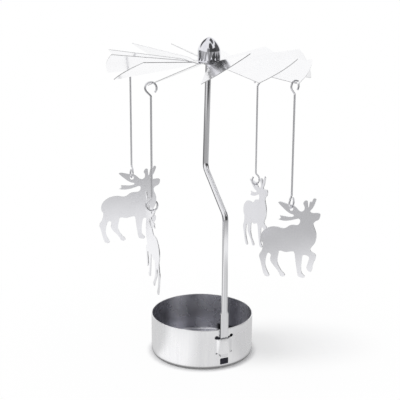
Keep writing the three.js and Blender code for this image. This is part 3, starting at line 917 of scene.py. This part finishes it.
# What shiny steel sees round it: a white room with flags. Each has its bearing to the right of
# straight ahead, the half widths of its core and soft edge, its lower and upper edge as sines
# with their softness, and its level. Later flags lie over earlier ones.
room_flags = [
    (150, 42, 60, -0.36, 0.14, 0.0, 0.04, 0.45),
    (-135, 20, 30, -0.42, 0.03, 0.0, 0.04, 0.4),
    (-24, 16, 26, -0.2, 0.1, 0.0, 0.05, 0.75),
    (98, 28, 55, -0.34, 0.12, 0.0, 0.04, 0.48),
    (-72, 14, 27, -0.34, 0.1, 0.06, 0.05, 0.06),
    (-46, 14, 24, 0.3, 0.05, 0.8, 0.06, 0.1),
    (-102, 30, 50, -0.55, 0.08, -0.2, 0.08, 0.55),
    (-86, 16, 26, -0.3, 0.12, 0.12, 0.05, 0.12),
    (-110, 14, 30, -0.06, 0.05, 0.1, 0.05, 0.5),
    (180, 14, 27, 0.0, 0.04, 0.57, 0.06, 0.26),
    (125, 42, 52, 0.0, 0.04, 0.54, 0.05, 0.06),
    (160, 22, 29, 0.6, 0.05, 0.92, 0.05, 0.08),
    (158, 12, 20, 0.0, 0.04, 0.7, 0.06, 0.07),
    (75, 22, 36, 0.0, 0.04, 0.66, 0.06, 0.1),
    (75, 42, 52, 0.8, 0.05, 1.2, 0.05, 0.1),
]
floor_flags = [
    (110, 72, 96, -2.0, 0.1, 2.0, 0.1, 0.75),
    (75, 35, 62, -2.0, 0.1, 2.0, 0.1, 0.62),
    (-70, 30, 50, -2.0, 0.1, 2.0, 0.1, 0.68),
]


def studio_level(tree, way, flags):
    """How bright the room is in the looked-at way."""
    flat = add(tree, "ShaderNodeVectorMath", {0: way, 1: (1, 1, 0)}, operation="MULTIPLY")
    level_way = add(tree, "ShaderNodeVectorMath", {0: flat.outputs[0]}, operation="NORMALIZE")
    unit = add(tree, "ShaderNodeVectorMath", {0: way}, operation="NORMALIZE")
    height = add(tree, "ShaderNodeSeparateXYZ", {0: unit.outputs[0]}).outputs["Z"]
    level = 1.0
    for bearing, core, edge, low, low_soft, high, high_soft, dark in flags:
        flag_way = ahead * cos(radians(bearing)) + aside * sin(radians(bearing))
        facing = add(tree, "ShaderNodeVectorMath", {
            0: level_way.outputs[0], 1: flag_way}, operation="DOT_PRODUCT")
        covered = share_within(
            tree, (facing.outputs["Value"], cos(radians(edge)), cos(radians(core))),
            (height, low - low_soft, low + low_soft), (height, high + high_soft, high - high_soft))
        level = add(tree, "ShaderNodeMix", {"Factor": covered, "A": level, "B": dark}).outputs[0]
    return level


# Where each of the floor's blends begins and ends, in metres from the middle: the dark under
# the cup, the cup's own shadow, the fade of all shadows into white, and the change from what
# the cup reflects to what the figures reflect, as seen from about their own height
under_cup = (0.0315, 0.027)
cup_shadow = (0.0275, 0.031)
white_fade = (0.05, 0.16)
room_fade = (0.1, 0.17)
figure_height = 0.1
under_cup_level = 0.2
room_light = 0.75

# The wide soft shadow beside the cup: its middle, its half length and half depth, and how much
# of the white covers it at its middle and outside it
shade_middle = aside * 0.044 + ahead * 0.009
shade_size = (0.066, 0.042, 1)
shade_white = 0.42
outer_white = 0.95

deselect()
bpy.ops.mesh.primitive_plane_add(size=paper_size, location=(0, 0, -paper_drop))
floor = name_piece("pale_floor")
paper = bpy.data.materials.new("pale_paper")
paper.use_nodes = True
tree = paper.node_tree
shader = tree.nodes["Principled BSDF"]
shader.inputs["Roughness"].default_value = 0.9
shader.inputs["Specular IOR Level"].default_value = 0.0
shader.inputs["Base Color"].default_value = colour("f6f6f7")
spot = add(tree, "ShaderNodeTexCoord", {}).outputs["Object"]
distance = add(tree, "ShaderNodeVectorMath", {0: spot}, operation="LENGTH").outputs["Value"]
rays = add(tree, "ShaderNodeLightPath", {}).outputs

# What the camera sees of the paper is part white glow and part real shadow
beside = add(tree, "ShaderNodeMapping", {
    "Vector": spot, "Location": shade_middle, "Rotation": (0, 0, view_turn),
    "Scale": shade_size}, vector_type="TEXTURE")
beside = add(tree, "ShaderNodeVectorMath", {0: beside.outputs[0]}, operation="LENGTH")
past_shade = share_within(tree, (beside.outputs["Value"], 0.2, 1.0))
white = add(tree, "ShaderNodeMix", {"Factor": past_shade, "A": shade_white, "B": outer_white})
white = share_within(tree, (distance, *cup_shadow), share=white.outputs[0])
far_out = share_within(tree, (distance, *white_fade))
white = add(tree, "ShaderNodeMix", {"Factor": far_out, "A": white, "B": 1.0})
seen_white = add(tree, "ShaderNodeMath", {
    0: rays["Is Camera Ray"], 1: white.outputs[0]}, operation="MULTIPLY")

# What the shiny pieces see of it is the room, as it looks from where they are
near_level = add(tree, "ShaderNodeMix", {
    "Factor": share_within(tree, (distance, *under_cup)),
    "A": studio_level(tree, spot, floor_flags), "B": under_cup_level})
from_figures = add(tree, "ShaderNodeVectorMath", {
    0: spot, 1: (0, 0, figure_height)}, operation="SUBTRACT")
room = add(tree, "ShaderNodeMix", {
    "Factor": share_within(tree, (distance, *room_fade)),
    "A": near_level.outputs[0], "B": studio_level(tree, from_figures.outputs[0], room_flags)})
strength = add(tree, "ShaderNodeMix", {
    "Factor": rays["Is Glossy Ray"], "A": 1.0, "B": room.outputs[0]})
glow = add(tree, "ShaderNodeEmission", {"Strength": strength.outputs[0], "Color": (1, 1, 1, 1)})
share = add(tree, "ShaderNodeMath", {
    0: seen_white.outputs[0], 1: rays["Is Glossy Ray"]}, operation="MAXIMUM")
mixed = add(tree, "ShaderNodeMixShader", {
    0: share.outputs[0], 1: shader.outputs[0], 2: glow.outputs[0]})
tree.links.new(mixed.outputs[0], tree.nodes["Material Output"].inputs["Surface"])
give(floor, paper)

world = bpy.data.worlds.new("studio")
bpy.context.scene.world = world
world.use_nodes = True
tree = world.node_tree
rays = add(tree, "ShaderNodeLightPath", {}).outputs
room = studio_level(tree, add(tree, "ShaderNodeTexCoord", {}).outputs["Generated"], room_flags)
shiny = add(tree, "ShaderNodeMix", {"Factor": rays["Is Glossy Ray"], "A": room_light, "B": room})
seen = add(tree, "ShaderNodeMix", {
    "Factor": rays["Is Camera Ray"], "A": shiny.outputs[0], "B": 1.0})
backdrop = tree.nodes["Background"]
backdrop.inputs["Color"].default_value = (1, 1, 1, 1)
tree.links.new(seen.outputs[0], backdrop.inputs["Strength"])

lit_place = Vector((0, 0, 0.06))


def soft_light(name, place, size, power):
    bpy.ops.object.light_add(type="AREA", location=place)
    lamp = bpy.context.object
    lamp.name = name
    lamp.data.size = size
    lamp.data.energy = power
    lamp.visible_glossy = False
    towards = lit_place - Vector(place)
    lamp.rotation_euler = towards.to_track_quat("-Z", "Y").to_euler()


deselect()
soft_light("soft_key", -aside * 0.78 - ahead * 0.1 + Vector((0, 0, 0.75)), 0.6, 3.2)
soft_light("soft_fill", aside * 0.9 - ahead * 0.2 + Vector((0, 0, 0.6)), 0.7, 0.8)

bpy.ops.object.camera_add()
camera = bpy.context.object
camera.location = view_place
camera.rotation_mode = "QUATERNION"
looking = ahead * cos(view_down) - Vector((0, 0, sin(view_down)))
roll = Euler((0, 0, view_roll)).to_quaternion()
camera.rotation_quaternion = looking.to_track_quat("-Z", "Y") @ roll
camera.data.sensor_width = film_width
camera.data.lens = view_lens
camera.data.clip_start = 0.01
bpy.context.scene.camera = camera

bpy.context.scene.view_settings.view_transform = "Standard"
